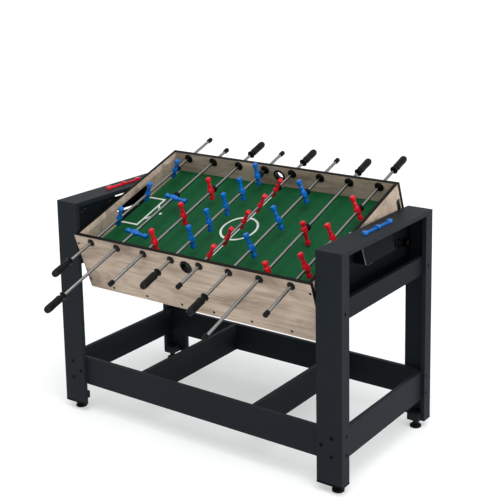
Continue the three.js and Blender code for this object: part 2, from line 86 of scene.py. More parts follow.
def node(nt, kind, **inputs):
    n = nt.nodes.new(kind)
    for k, v in inputs.items():
        n.inputs[k.replace("_", " ")].default_value = v
    return n


def grey(v):
    return (v, v, v)


def coords(nt, scale=(1, 1, 1), rot=(0, 0, 0)):
    tc = nt.nodes.new("ShaderNodeTexCoord")
    mp = node(nt, "ShaderNodeMapping", Scale=scale, Rotation=rot)
    nt.links.new(tc.outputs["Object"], mp.inputs["Vector"])
    return mp.outputs["Vector"]


def noise(nt, vec, scale, detail, rough=0.5, distortion=0.0):
    n = node(nt, "ShaderNodeTexNoise", Scale=scale, Detail=detail, Roughness=rough,
             Distortion=distortion)
    nt.links.new(vec, n.inputs["Vector"])
    return n.outputs["Fac"]


def ramp(nt, fac, stops):
    r = nt.nodes.new("ShaderNodeValToRGB")
    els = r.color_ramp.elements
    while len(els) < len(stops):
        els.new(0.5)
    for e, (pos, col) in zip(els, stops):
        e.position = pos
        e.color = (*col, 1)
    nt.links.new(fac, r.inputs["Fac"])
    return r.outputs["Color"]


def mix(nt, a, b, fac, mode):
    """One colour Mix node; fac is a socket or a number."""
    n = nt.nodes.new("ShaderNodeMix")
    n.data_type = "RGBA"
    n.blend_type = mode
    fac_in, a_in, b_in = n.inputs[0], n.inputs[6], n.inputs[7]
    if isinstance(fac, float):
        fac_in.default_value = fac
    else:
        nt.links.new(fac, fac_in)
    nt.links.new(a, a_in)
    nt.links.new(b, b_in)
    return n.outputs[2]


def times(nt, a, b, fac=1.0):
    return mix(nt, a, b, fac, "MULTIPLY")


def calc(nt, op, a, b):
    """One Math node; a and b are sockets or numbers."""
    n = nt.nodes.new("ShaderNodeMath")
    n.operation = op
    for i, v in enumerate((a, b)):
        if isinstance(v, (int, float)):
            n.inputs[i].default_value = v
        else:
            nt.links.new(v, n.inputs[i])
    return n.outputs[0]


def bump(nt, bsdf, fac, strength, distance):
    """A bump; distance is in metres."""
    b = node(nt, "ShaderNodeBump", Strength=strength, Distance=distance)
    nt.links.new(fac, b.inputs["Height"])
    nt.links.new(b.outputs["Normal"], bsdf.inputs["Normal"])


def shades(base, low, high):
    return [(0.3, tuple(c * low for c in base)), (0.7, tuple(c * high for c in base))]


def rough_range(nt, bsdf, fac, lo, hi):
    m = node(nt, "ShaderNodeMapRange", To_Min=lo, To_Max=hi)
    nt.links.new(fac, m.inputs["Value"])
    nt.links.new(m.outputs["Result"], bsdf.inputs["Roughness"])


def laminate(name, base, rough, spec):
    m, nt, b = new_mat(name)
    fine = noise(nt, coords(nt), 900, 3, 0.6)
    broad = noise(nt, coords(nt), 6, 3)
    col = times(nt, ramp(nt, fine, shades(base, 0.86, 1.14)),
                ramp(nt, broad, [(0.3, grey(0.9)), (0.7, grey(1))]))
    nt.links.new(col, b.inputs["Base Color"])
    rough_range(nt, b, fine, *rough)
    b.inputs["Specular IOR Level"].default_value = spec
    bump(nt, b, fine, 0.08, 0.0004)
    return m


def oak(name, turned=False):
    """Light greyish oak laminate. The grain runs along X, or along Y when turned."""
    m, nt, b = new_mat(name)
    rot = (0, 0, math.pi / 2) if turned else (0, 0, 0)

    def grain(along, across, *settings):
        return noise(nt, coords(nt, (along, across, across), rot), *settings)

    field = grain(0.8, 4.2, 2.1, 3, 0.42, 0.5)
    fibres = grain(1.7, 80, 4.0, 6, 0.62, 0.4)
    streak = grain(1.4, 15, 3.0, 6, 0.6, 0.8)
    cloud = grain(1.5, 3.6, 2.7, 4, 0.55, 0.9)
    zone = grain(2.4, 5.0, 2.9, 2, 0.5, 0.2)
    pores = grain(16, 320, 6.0, 3)
    # growth rings: level lines of a smooth field, waved by the streaks
    waved = calc(nt, "ADD", calc(nt, "MULTIPLY", field, 78.0), calc(nt, "MULTIPLY", streak, 7.0))
    rings = calc(nt, "MULTIPLY", calc(nt, "ADD", calc(nt, "SINE", waved, 0.0), 1.0), 0.5)
    plain = ramp(nt, streak, [(0.28, (0.455, 0.366, 0.288)), (0.48, (0.515, 0.417, 0.332)),
                              (0.68, (0.575, 0.470, 0.376))])
    shadow = ramp(nt, cloud, [(0.33, (0.60, 0.57, 0.54)), (0.45, (0.88, 0.865, 0.85)),
                              (0.60, grey(1.07))])
    lines = ramp(nt, rings, [(0.0, (0.83, 0.81, 0.79)), (0.35, (0.97, 0.965, 0.96)),
                             (1.0, grey(1.02))])
    threads = ramp(nt, fibres, [(0.34, (0.70, 0.68, 0.66)), (0.47, grey(0.98)),
                                (0.66, grey(1.08))])
    specks = ramp(nt, pores, [(0.34, (0.88, 0.865, 0.85)), (0.5, grey(1))])
    figured = times(nt, plain, lines)
    where = ramp(nt, zone, [(0.38, grey(0)), (0.56, grey(1))])
    col = times(nt, mix(nt, plain, figured, where, "MIX"), shadow)
    col = times(nt, times(nt, col, threads, 0.9), specks, 0.8)
    nt.links.new(col, b.inputs["Base Color"])
    rough_range(nt, b, streak, 0.5, 0.62)
    b.inputs["Specular IOR Level"].default_value = 0.22
    bump(nt, b, pores, 0.12, 0.0004)
    return m


def speckled(name, base, scale, span, rough, strength, spec=0.3, sheen=0.0):
    """A fine mottle between the two factors in span, over the base colour."""
    m, nt, b = new_mat(name)
    n = noise(nt, coords(nt), scale, 3, 0.6)
    nt.links.new(ramp(nt, n, shades(base, *span)), b.inputs["Base Color"])
    rough_range(nt, b, n, *rough)
    b.inputs["Specular IOR Level"].default_value = spec
    if sheen:
        b.inputs["Sheen Weight"].default_value = sheen
        b.inputs["Sheen Roughness"].default_value = 0.5
    bump(nt, b, n, strength, 0.0005)
    return m


def glossy(name, base, rough, coat, spec):
    m, nt, b = new_mat(name)
    n = noise(nt, coords(nt), 60, 3)
    nt.links.new(ramp(nt, n, shades(base, 0.93, 1.07)), b.inputs["Base Color"])
    rough_range(nt, b, n, *rough)
    b.inputs["Specular IOR Level"].default_value = spec
    b.inputs["Coat Weight"].default_value = coat
    b.inputs["Coat Roughness"].default_value = 0.12
    bump(nt, b, n, 0.05, 0.0004)
    return m


def metal(name, base, rough):
    m, nt, b = new_mat(name)
    n = noise(nt, coords(nt, (220, 6, 220)), 4, 3)
    nt.links.new(ramp(nt, n, shades(base, 0.9, 1.06)), b.inputs["Base Color"])
    rough_range(nt, b, n, *rough)
    b.inputs["Metallic"].default_value = 1.0
    b.inputs["Specular Tint"].default_value = (0.05, 0.05, 0.05, 1)
    return m


CHARCOAL = laminate("charcoal_laminate", (0.0112, 0.0150, 0.0188), (0.5, 0.62), 0.08)
# a darker copy of the charcoal laminate for the tray aprons: painted shade of their recess behind
# the legs
APRON_PAINTED_SHADE = laminate("apron_laminate_painted_shade", (0.0060, 0.0082, 0.0104), (0.5, 0.62), 0.07)
# a still darker copy of the charcoal laminate: painted shade for the side panels and guard wings in
# the recess under the end tops
SHADED = laminate("painted_shade_laminate", (0.0042, 0.0054, 0.0066), (0.5, 0.6), 0.05)
OAK_X = oak("oak_laminate_long")
OAK_Y = oak("oak_laminate_end", turned=True)
BAND = laminate("dark_edge_band", (0.0066, 0.0058, 0.0052), (0.5, 0.6), 0.06)
# a pale grey for the lit edge face of each guard plate: painted highlight
EDGE_HIGHLIGHT_PAINT = laminate("painted_edge_highlight", (0.30, 0.31, 0.31), (0.6, 0.7), 0.2)
FIELD = speckled("field_green", (0.0072, 0.0850, 0.0290), 40, (0.9, 1.1), (0.55, 0.68),
                 0.04, 0.08)
LINE = speckled("line_white", (0.74, 0.78, 0.74), 60, (0.95, 1.03), (0.5, 0.6), 0.03)
FELT = (2600, (0.78, 1.2), (0.85, 0.95), 0.25, 0.04, 0.06)
CLOTH = speckled("pool_cloth", (0.0008, 0.165, 0.064), *FELT)
CUSHION = speckled("cushion_cloth", (0.0030, 0.205, 0.092), *FELT)
BLACK = speckled("black_plastic", (0.0026, 0.0026, 0.0028), 700, (0.8, 1.25), (0.30, 0.42),
                 0.06, 0.12)
RUBBER = speckled("black_rubber", grey(0.0038), 900, (0.8, 1.2), (0.5, 0.65), 0.1, 0.1)
CHROME = metal("chrome_rod", (0.26, 0.26, 0.255), (0.12, 0.18))
ZINC = metal("zinc_bolt", grey(0.30), (0.28, 0.4))
DULL = metal("dull_screw", grey(0.07), (0.3, 0.4))
BOLT = glossy("black_screw", (0.0010, 0.0010, 0.0012), (0.22, 0.3), 0.0, 0.05)
BLUE = glossy("blue_plastic", (0.0006, 0.132, 0.49), (0.18, 0.28), 0.05, 0.22)
RED = glossy("red_plastic", (0.64, 0.0085, 0.024), (0.18, 0.28), 0.05, 0.22)
TEAM = {"blue": BLUE, "red": RED}


# ---------------------------------------------------------------- pieces

def finish_mesh(bm, name, smooth=32):
    """The mesh of bm, smooth up to this angle, or flat for 0."""
    bmesh.ops.remove_doubles(bm, verts=bm.verts, dist=1e-7)
    bmesh.ops.recalc_face_normals(bm, faces=bm.faces)
    me = bpy.data.meshes.new(name)
    bm.to_mesh(me)
    bm.free()
    if smooth:
        for p in me.polygons:
            p.use_smooth = True
        me.set_sharp_from_angle(angle=math.radians(smooth))
    return me


def listed(mats):
    return mats if isinstance(mats, (list, tuple)) else [mats]


def soften(o, width, segments=2):
    b = o.modifiers.new("soft_edges", "BEVEL")
    b.width = width * MM
    b.segments = segments
    b.limit_method = "ANGLE"
    b.angle_limit = math.radians(40)
    b.harden_normals = False


def put(name, me, mats, body, matrix=Matrix(), stands_for=(), bevel=0.0, segments=2):
    """Puts one made piece on its body."""
    o = bpy.data.objects.new(name, me)
    bpy.context.scene.collection.objects.link(o)
    for m in listed(mats):
        me.materials.append(m)
    o.matrix_world = matrix
    if bevel:
        soften(o, bevel, segments)
    bpy.context.view_layer.update()
    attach(o, body)
    if stands_for:
        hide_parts(*stands_for)


def dress(name, mats, bevel=0.9):
    """Gives a CAD node its look."""
    o = nodes[name]
    o.data.materials.clear()
    for m in listed(mats):
        o.data.materials.append(m)
    if bevel:
        soften(o, bevel)


# ---------------------------------------------------------------- mesh helpers

def span(a, b):
    """Two places in rising order."""
    return min(a, b), max(a, b)


def verts_at(bm, points):
    return [bm.verts.new([c * MM for c in p]) for p in points]


def turn_point(u, v, w, axis, at):
    """A point at (u, v) across an axis through at and w along it, in metres."""
    p = {"X": (w, u, v), "Y": (u, w, v), "Z": (u, v, w)}[axis]
    return tuple((c + d) * MM for c, d in zip(p, at))


def turned_ring(bm, radius, place, axis, at, segs):
    """A ring round an axis. The radius is a number, 0 for a point, or a function of the angle."""
    if not callable(radius) and radius < TINY:
        return [bm.verts.new(turn_point(0, 0, place, axis, at))]
    ring = []
    for k in range(segs):
        a = 2 * math.pi * k / segs
        r = radius(a) if callable(radius) else radius
        ring.append(bm.verts.new(turn_point(r * math.cos(a), r * math.sin(a), place, axis, at)))
    return ring


def join_rings(bm, rings, closed=False):
    pairs = list(zip(rings, rings[1:]))
    if closed:
        pairs.append((rings[-1], rings[0]))
    for a, b in pairs:
        n = max(len(a), len(b))
        for k in range(n):
            quad = [a[k % len(a)], a[(k + 1) % n % len(a)], b[(k + 1) % n % len(b)], b[k % len(b)]]
            face = []
            for v in quad:
                if v not in face:
                    face.append(v)
            if len(face) > 2:
                bm.faces.new(face)


def capped(bm, rings):
    join_rings(bm, rings)
    bm.faces.new(rings[0])
    bm.faces.new(rings[-1])


def filleted(profile, r):
    """A profile of (radius, place) whose corners off the axis are rounded by up to r."""
    pts = [Vector(p) for p in profile]
    out = [pts[0]]
    for a, p, c in zip(pts, pts[1:], pts[2:]):
        u, v = a - p, c - p
        if u.length < TINY or v.length < TINY or u.angle(v) > math.radians(165) or p.x < TINY:
            out.append(p)
            continue
        d = min(r, 0.45 * u.length, 0.45 * v.length)
        s, e = p + u.normalized() * d, p + v.normalized() * d
        for t in (0.0, 0.33, 0.67, 1.0):
            out.append(s * (1 - t) ** 2 + p * 2 * t * (1 - t) + e * t * t)
    out.append(pts[-1])
    return out


def lathe(bm, profile, segs, fillet, at, axis):
    """Turns (radius, place) round an axis through at."""
    pts = filleted(profile, fillet) if fillet else [Vector(p) for p in profile]
    join_rings(bm, [turned_ring(bm, p.x, p.y, axis, at, segs) for p in pts])


def turned_mesh(name, profile, segs, fillet, at, axis):
    bm = bmesh.new()
    lathe(bm, profile, segs, fillet, at, axis)
    return finish_mesh(bm, name)


def box_into(bm, lo, hi):
    v = bmesh.ops.create_cube(bm, size=1.0)["verts"]
    lo, hi = Vector(lo), Vector(hi)
    for p in v:
        p.co = Vector(((lo[i] + hi[i]) / 2 + p.co[i] * (hi[i] - lo[i])) for i in range(3)) * MM


def box_mesh(name, lo, hi):
    bm = bmesh.new()
    box_into(bm, lo, hi)
    return finish_mesh(bm, name, 0)


def cylinder_mesh(r, lo, hi, at, axis, segs):
    bm = bmesh.new()
    lathe(bm, [(0, lo), (r, lo), (r, hi), (0, hi)], segs, 0, at, axis)
    return finish_mesh(bm, "cutter", 0)


def bored(name, me, cutters):
    """me with the cutter meshes taken away."""
    a = bpy.data.objects.new("bored", me)
    bpy.context.scene.collection.objects.link(a)
    tools = []
    for c in cutters:
        b = bpy.data.objects.new("cutter", c)
        bpy.context.scene.collection.objects.link(b)
        tools.append(b)
        m = a.modifiers.new("cut", "BOOLEAN")
        m.operation = "DIFFERENCE"
        m.solver = "EXACT"
        m.object = b
    dg = bpy.context.evaluated_depsgraph_get()
    dg.update()
    out = bpy.data.meshes.new_from_object(a.evaluated_get(dg))
    out.name = name
    for o in [a, *tools]:
        bpy.data.objects.remove(o)
    out.materials.clear()
    return out


def band_faces(me, axis):
    """Faces whose normals don't point along axis get the second material."""
    for p in me.polygons:
        p.material_index = 0 if abs(p.normal[axis]) > 0.7 else 1


def screw(bm, at, axis, out, r):
    """A pan head with a hexagon socket, its flat side at the surface."""
    segs = 24

    def hexagon(a):
        return r * 0.36 / math.cos((a % (math.pi / 3)) - math.pi / 6)

    head = filleted([(r, -1.2), (r, 0.5), (r * 0.72, 1.25), (r * 0.45, 1.3)], 0.5)
    rings = [turned_ring(bm, p.x, p.y * out, axis, at, segs) for p in head]
    rings += [turned_ring(bm, hexagon, depth * out, axis, at, segs) for depth in (1.25, 0.1)]
    join_rings(bm, rings)
    bm.faces.new(rings[-1])


# ---------------------------------------------------------------- base

for e, sx in ENDS:
    for stem in ("end_top", "end_rail", "cross_rail"):
        dress(f"{stem}_{e}", CHARCOAL)
    # the tray aprons take the darker copy of the charcoal: painted shade
    dress(f"ball_tray_{e}", APRON_PAINTED_SHADE)
    # the side panels take the painted-shade laminate
    dress(f"side_panel_{e}", SHADED)
    for f, sy in FACES:
        dress(f"leg_{f}_{e}", CHARCOAL)
for f, sy in FACES:
    dress(f"long_rail_{f}", CHARCOAL)

LEVELLER = ((0, 0), (20.4, 0), (21, 0.8), (21, 7), (10.5, 12.4), (10, 13.5), (10, 29.6),
            (4, 29.6), (4, 49.8), (0, 49.8))
for e, sx in ENDS:
    for f, sy in FACES:
        me = turned_mesh("leveller", LEVELLER, 40, 0.9, (sx * FOOT_X, sy * FOOT_Y, 0), "Z")
        put(f"leveller_{f}_{e}", me, RUBBER, f"leveller_{f}_{e}",
            stands_for=[f"foot_{f}_{e}"])

# dark strips round the bottom of the legs, along the wide and the narrow board
STRIP_LOW, STRIP_TOP = 30.2, 37.2
STRIPS = ((PANEL_IN_X, LEG_X + 0.3, LEG_Y + 0.1, LEG_Y + 0.5),
          (LEG_X - 0.1, LEG_X + 0.3, 260.0, LEG_Y + 0.1))
for e, sx in ENDS:
    bm = bmesh.new()
    for f, sy in FACES:
        for x0, x1, y0, y1 in STRIPS:
            lo_x, hi_x = span(sx * x0, sx * x1)
            lo_y, hi_y = span(sy * y0, sy * y1)
            box_into(bm, (lo_x, lo_y, STRIP_LOW), (hi_x, hi_y, STRIP_TOP))
    put(f"leg_strips_{e}", finish_mesh(bm, "strips", 0), BOLT, "base")

# screws of the legs and rails
for e, sx in ENDS:
    bm = bmesh.new()
    for f, sy in FACES:
        for x, z in ((569, 193), (530, 162), (569, 130)):
            screw(bm, (sx * x, sy * (LEG_Y + 0.2), z), "Y", sy, 6.8)
        for y, z in ((282, 609), (275, 199), (275, 135)):
            screw(bm, (sx * LEG_X, sy * y, z), "X", sx, 6.8)
    put(f"leg_screws_{e}", finish_mesh(bm, "screws"), BOLT, "base")

# goal guards: corners of the pale strip on one edge of each plate, a painted highlight of that lit
# edge, and of the wings' tops, as (x, z)
GUARD_EDGE = ((572.7, 710.2), (576.3, 710.2), (559.4, 770.8), (555.8, 770.8))
GUARD_TOP = ((PANEL_OUT_X + SEAM, 771.2), (555.0, 771.2), (549.0, 792.4),
             (PANEL_OUT_X + SEAM, 792.4))
PANEL_SCREWS = ((-276, 770), (-260, 777.6), (-128.6, 777.8),
                (276, 770), (260, 777.6), (128.6, 777.8))
for e, sx in ENDS:
    bm = bmesh.new()
    # only one edge of each plate gets the pale strip: painted highlight
    capped(bm, [verts_at(bm, [(sx * x, -sx * y, z) for x, z in GUARD_EDGE]) for y in (96.9, 97.4)])
    put(f"guard_edge_highlights_{e}", finish_mesh(bm, "edges", 0), EDGE_HIGHLIGHT_PAINT, "base")

    # the wings' tops, in the painted-shade laminate
    bm = bmesh.new()
    for sy in (-1, 1):
        capped(bm, [verts_at(bm, [(sx * x, sy * y, z) for x, z in GUARD_TOP])
                    for y in (93.2, 96.8)])
    put(f"guard_wing_tops_{e}", finish_mesh(bm, "wings", 0), SHADED, "base",
        bevel=0.3)

    bm = bmesh.new()
    for y, z in PANEL_SCREWS:
        screw(bm, (sx * PANEL_IN_X, y, z), "X", -sx, 3.2)
    put(f"panel_screws_{e}", finish_mesh(bm, "screws"), DULL, "base")

    # the keeper beside the lock: two rings and a latch on the panel's outer face
    face = PANEL_OUT_X + 0.1
    bm = bmesh.new()
    for y in (172, 210):
        lathe(bm, [(11, sx * face), (11, sx * 533.5), (17, sx * 534.2), (17, sx * face)],
              36, 0.8, (0, y, 697), "X")
    lo, hi = span(sx * face, sx * 532.5)
    box_into(bm, (lo, 186, 703), (hi, 198, 712))
    put(f"lock_keeper_{e}", finish_mesh(bm, "keeper"), BLACK, "base", bevel=0.6)


# scorers: ridged bar, pointed end blocks and a sliding marker
def lens_block(bm, x, y, z, wide, long, high):
    """An end block with a pointed outline and a domed top."""
    segs = 36
    rings = []
    for grow, h in ((1.0, 0.0), (1.0, high - 3.2), (0.95, high - 1.5), (0.8, high - 0.4),
                    (0.4, high), (0.1, high)):
        points = []
        for k in range(segs):
            t = 2 * math.pi * k / segs
            v = math.copysign(abs(math.sin(t)) ** 1.05, math.sin(t))
            w = math.copysign(abs(math.cos(t)) ** 1.25, math.cos(t)) * (1 - 0.12 * abs(v) ** 4)
            points.append((x + w * grow * wide / 2, y + v * grow * long / 2, z + h))
        rings.append(verts_at(bm, points))
    capped(bm, rings)


# the bar's beads as (place, height), its section and the marker's arch as (across, height)
BEADS, BEAD_STEP, VALLEY = 14, 10.5, 0.2
BAR_HALF, BAR_HALF_WIDE, BAR_HIGH = 74, 5.5, 6.95
BAR = [(-BAR_HALF, VALLEY)]
for k in range(BEADS):
    y = (k - (BEADS - 1) / 2) * BEAD_STEP
    BAR += [(y - 4.0, VALLEY), (y - 3.3, 0.84), (y - 1.6, 1.0), (y + 1.6, 1.0), (y + 3.3, 0.84),
            (y + 4.0, VALLEY)]
BAR.append((BAR_HALF, VALLEY))
BAR_SECTION = ((-1, 0), (-1, 0.55), (-0.7, 0.92), (-0.25, 1), (0.25, 1), (0.7, 0.92), (1, 0.55),
               (1, 0))
ARCH = ((-8.4, 0), (-8.4, 7.0), (-7.4, 9.2), (-4.6, 10.4), (4.6, 10.4), (7.4, 9.2), (8.4, 7.0),
        (8.4, 0), (6.0, 0), (6.0, 7.3), (-6.0, 7.3), (-6.0, 0))
ARCH_ENDS = ((0, 1, 10, 11), (1, 2, 10), (2, 3, 10), (3, 4, 9, 10), (4, 5, 9), (5, 6, 9),
             (6, 7, 8, 9))

for e, sx in ENDS:
    look, slot = (RED, "red_plastic") if sx < 0 else (BLUE, "blue_plastic")
    x, z = sx * SCORER_X, SCORER_Z
    bm = bmesh.new()
    for sy in (-1, 1):
        lens_block(bm, x, sy * 81.6, z, 19.5, 22.8, 10.9)
    rings = []
    for y, high in BAR:
        wide = BAR_HALF_WIDE * (0.7 + 0.3 * min(1.0, (high - VALLEY) / 0.6))
        rings.append(verts_at(bm, [(x + u * wide, y, z + v * high * BAR_HIGH)
                                   for u, v in BAR_SECTION]))
    capped(bm, rings)
    put(f"scorer_bar_{e}", finish_mesh(bm, "scorer"), look, "base",
        stands_for=[f"scorer_{e}"])

    bm = bmesh.new()
    rings = [verts_at(bm, [(x + u, y, z + v) for u, v in ARCH]) for y in (-7.0, 7.0)]
    join_rings(bm, rings)
    for ring in rings:
        for corners in ARCH_ENDS:
            bm.faces.new([ring[i] for i in corners])
    put(f"marker_saddle_{e}", finish_mesh(bm, "marker", 30), look, f"marker_{e}",
        stands_for=[f"score_marker_{e}"], bevel=0.6)

# lock knobs: the pin, the stem and a ribbed head
LOCK = filleted([(0, 508.8), (6, 508.8), (6, PANEL_OUT_X + SEAM), (9, PANEL_OUT_X + SEAM),
                 (9, 533.5), (16.6, 537.5), (16.6, 549.5), (12, 553.4), (0, 553.4)], 1.2)
for e, sx in ENDS:
    bm = bmesh.new()
    rings = []
    for p in LOCK:
        rib = 0.05 if p.x > 14 else 0
        rings.append(turned_ring(bm, lambda a: p.x * (1 - rib * (0.5 + 0.5 * math.cos(12 * a))),
                                 p.y * sx, "X", (0, sx * LOCK_Y, PIVOT_Z), 60))
    join_rings(bm, rings)
    put(f"lock_handle_{e}", finish_mesh(bm, "lock"), BOLT, f"lock_{e}",
        stands_for=[f"lock_knob_{e}"])

# ---------------------------------------------------------------- cabinet

for f, sy in FACES:
    lo, hi = span(sy * IN_D, sy * HALF_D)
    me = box_mesh("wall", (-HALF_L, lo, -HALF_H), (HALF_L, hi, HALF_H))
    cut = [cylinder_mesh(6.0, lo - 5, hi + 5, (x, 0, ROD_Z), "Y", 32) for x in ROD_X]
    cut.append(cylinder_mesh(20.5, lo - 5, hi + 5, (0, 0, ENTRY_Z), "Y", 64))
    me = bored("wall", me, cut)
    band_faces(me, 1)
    put(f"wall_board_{f}", me, [OAK_X, BAND], "cabinet", CAB, [f"wall_{f}"], bevel=0.7)

    # rod bushings: an outer and an inner part for each rod; a and b are the wall's faces
    bm = bmesh.new()
    a, b = sy * HALF_D, sy * IN_D
    for x in ROD_X:
        lathe(bm, [(5.9, b - sy), (5.9, a + sy * 6.9), (8.6, a + sy * 6.9), (9.6, a + sy * 3),
                   (14.9, a + sy * 2.4), (14.9, a - sy * 0.4), (10, a - sy * 0.4)],
              40, 0.8, (x, 0, ROD_Z), "Y")
        lathe(bm, [(5.9, a), (5.9, b - sy * 4.9), (12, b - sy * 4.9), (17.9, b - sy * 2.6),
                   (17.9, b + sy * 0.4), (10, b + sy * 0.4)],
              40, 0.8, (x, 0, ROD_Z), "Y")
    put(f"rod_bushings_{f}", finish_mesh(bm, "bushings"), BLACK, "cabinet", CAB)

    # ball entry ring, a collar on each face
    bm = bmesh.new()
    for out, w in ((sy, a), (-sy, b)):
        lathe(bm, [(18.1, w - out * 7.6), (18.1, w + out * 3.6), (20, w + out * 3.9),
                   (24.6, w + out * 2), (24.9, w - out * 0.4), (20.4, w - out * 0.4)],
              56, 0.7, (0, 0, ENTRY_Z), "Y")
    put(f"ball_entry_ring_{f}", finish_mesh(bm, "entry"), BLACK, "cabinet", CAB)

# end walls with goal mouth, pivot hole and lock holes, and the pivot bolts
PIVOT_BOLT = ((0, IN_L), (10, IN_L), (10, HALF_L + SEAM), (27.9, HALF_L + SEAM), (27.9, 513.1),
              (10, 513.1), (10, PANEL_OUT_X + SEAM), (17.9, PANEL_OUT_X + SEAM), (17.9, 531.2),
              (14, 531.4), (14, 537.5), (8, 540.6), (0, 540.6))
GOAL_HALF, GOAL_TOP = 90, 86
for e, sx in ENDS:
    lo, hi = span(sx * IN_L, sx * HALF_L)
    w = IN_D - SEAM
    me = box_mesh("wall", (lo, -w, -HALF_H), (hi, w, HALF_H))
    cut = [box_mesh("cut", (lo - 5, -GOAL_HALF, FIELD_Z), (hi + 5, GOAL_HALF, GOAL_TOP)),
           cylinder_mesh(10.4, lo - 5, hi + 5, ORIGIN, "X", 40)]
    cut += [cylinder_mesh(6.4, lo - 5, hi + 5, (0, s * LOCK_Y, 0), "X", 32) for s in (-1, 1)]
    me = bored("wall", me, cut)
    band_faces(me, 0)
    put(f"wall_board_{e}", me, [OAK_Y, BAND], "cabinet", CAB, [f"wall_{e}"], bevel=0.7)
    me = turned_mesh("pivot", [(r, sx * x) for r, x in PIVOT_BOLT], 40, 0.8, ORIGIN, "X")
    put(f"pivot_bolt_{e}", me, ZINC, "cabinet", CAB)

# dark slotted plate near the back of the right end wall
me = box_mesh("plate", (HALF_L + 0.1, 262.0, 23), (HALF_L + 2.6, 280.0, 63))
put("strike_plate", me, BLACK, "cabinet", CAB, bevel=0.3)

# screws of the long walls, along the pool bed and at the end walls
WALL_SCREWS = [(x, -98) for x in (-391, -231, -71, 69, 229, 389)]
WALL_SCREWS += [(x, z) for x in (-500, 500) for z in (-79, 79)]
for f, sy in FACES:
    bm = bmesh.new()
    for x, z in WALL_SCREWS:
        screw(bm, (x, sy * HALF_D, z), "Y", sy, 4.8)
    put(f"wall_screws_{f}", finish_mesh(bm, "screws"), BOLT, "cabinet", CAB)

dress("foosball_field", FIELD, 0)

# field markings, a thin layer on the field
LINES_Z = FIELD_Z + 0.2
LINE_WIDE = 8.0
CIRCLE_IN, CIRCLE_OUT = 64.5, 73  # the centre circle
LINE_END = 288.5
AREA_BACK, AREA_FRONT, AREA_HALF = 492.5, 412.5, 82  # the goal area
SPOT_X, SPOT_R = 370, 6.0
BOW_X, BOW_IN, BOW_OUT, BOW_HALF = 449, 54, 61, 53  # the bow before the goal area, its half angle


def strip(bm, x0, x1, y0, y1):
    corners = ((x0, y0), (x1, y0), (x1, y1), (x0, y1))
    bm.faces.new(verts_at(bm, [(x, y, LINES_Z) for x, y in corners]))


def arc(bm, cx, r0, r1, a0, a1, segs):
    """A band between two radii and two angles, round a point on the field's long axis."""
    pairs = []
    for k in range(segs + 1):
        a = math.radians(a0 + (a1 - a0) * k / segs)
        c, s = math.cos(a), math.sin(a)
        pairs.append(verts_at(bm, [(cx + r * c, r * s, LINES_Z) for r in (r0, r1)]))
    for (a, b), (c, d) in zip(pairs, pairs[1:]):
        bm.faces.new((a, b, d, c))


bm = bmesh.new()
strip(bm, -LINE_WIDE / 2, LINE_WIDE / 2, -LINE_END, -CIRCLE_OUT)
strip(bm, -LINE_WIDE / 2, LINE_WIDE / 2, CIRCLE_OUT, LINE_END)
strip(bm, -LINE_WIDE / 2, LINE_WIDE / 2, -CIRCLE_IN, CIRCLE_IN)
arc(bm, 0, CIRCLE_IN, CIRCLE_OUT, 0, 360, 96)
for e, sx in ENDS:
    lo, hi = span(sx * AREA_BACK, sx * AREA_FRONT)
    strip(bm, lo, hi, AREA_HALF, AREA_HALF + LINE_WIDE)
    strip(bm, lo, hi, -AREA_HALF - LINE_WIDE, -AREA_HALF)
    lo, hi = span(sx * AREA_FRONT, sx * (AREA_FRONT + LINE_WIDE))
    strip(bm, lo, hi, -AREA_HALF, AREA_HALF)
    arc(bm, sx * SPOT_X, 0.1, SPOT_R, 0, 360, 32)
    middle = 180 if sx > 0 else 0
    arc(bm, sx * BOW_X, BOW_IN, BOW_OUT, middle - BOW_HALF, middle + BOW_HALF, 40)
put("field_lines", finish_mesh(bm, "lines", 0), LINE, "cabinet", CAB)

# ---------------------------------------------------------------- pool side

CORNER_INSET, CORNER_R = 39.5, 34.0
MIDDLE_INSET, MIDDLE_R = 33.2, 30.0
POCKETS = []  # name, place, radius
for f, sy in FACES:
    for e, sx in ENDS:
        place = sx * (IN_L - CORNER_INSET), sy * (IN_D - CORNER_INSET)
        POCKETS.append((f"{f}_{e}", *place, CORNER_R))
    POCKETS.append((f"{f}_middle", 0.0, sy * (IN_D - MIDDLE_INSET), MIDDLE_R))
BED_X, BED_Y, BED_THICK = IN_L - SEAM, IN_D - SEAM, 12
RIM_Z, TOP_Z = -HALF_H + SEAM, POOL_Z - SEAM  # the cushions' faces away from and at the bed


def pocket_bores(grow, lo, hi, pockets):
    return [cylinder_mesh(r + grow, lo, hi, (x, y, 0), "Z", 56) for name, x, y, r in pockets]


me = box_mesh("bed", (-BED_X, -BED_Y, POOL_Z), (BED_X, BED_Y, POOL_Z + BED_THICK))
me = bored("bed", me, pocket_bores(0, POOL_Z - 20, POOL_Z + 30, POCKETS))
put("pool_cloth_bed", me, CLOTH, "cabinet", CAB, ["pool_bed"])

# cushion frame: rails whose noses lean over the bed; the section is (width, height)
CORNERS = ((-1, -1), (1, -1), (1, 1), (-1, 1))
RAIL_SECTION = ((0, RIM_Z), (22, RIM_Z), (33, RIM_Z + 4), (35, RIM_Z + 9), (35, RIM_Z + 13),
                (27, TOP_Z), (0, TOP_Z))
bm = bmesh.new()
rings = []
for wide, z in RAIL_SECTION:
    frame_x, frame_y = BED_X - wide, BED_Y - wide
    rings.append(verts_at(bm, [(sx * frame_x, sy * frame_y, z) for sx, sy in CORNERS]))
join_rings(bm, rings, closed=True)
me = finish_mesh(bm, "cushions", 0)
me = bored("cushions", me, pocket_bores(3.5, RIM_Z - 20, TOP_Z + 20, POCKETS))
put("cushion_rails", me, CUSHION, "cabinet", CAB,
    ["pool_cushions_left", "pool_cushions_right"], bevel=1.2, segments=3)

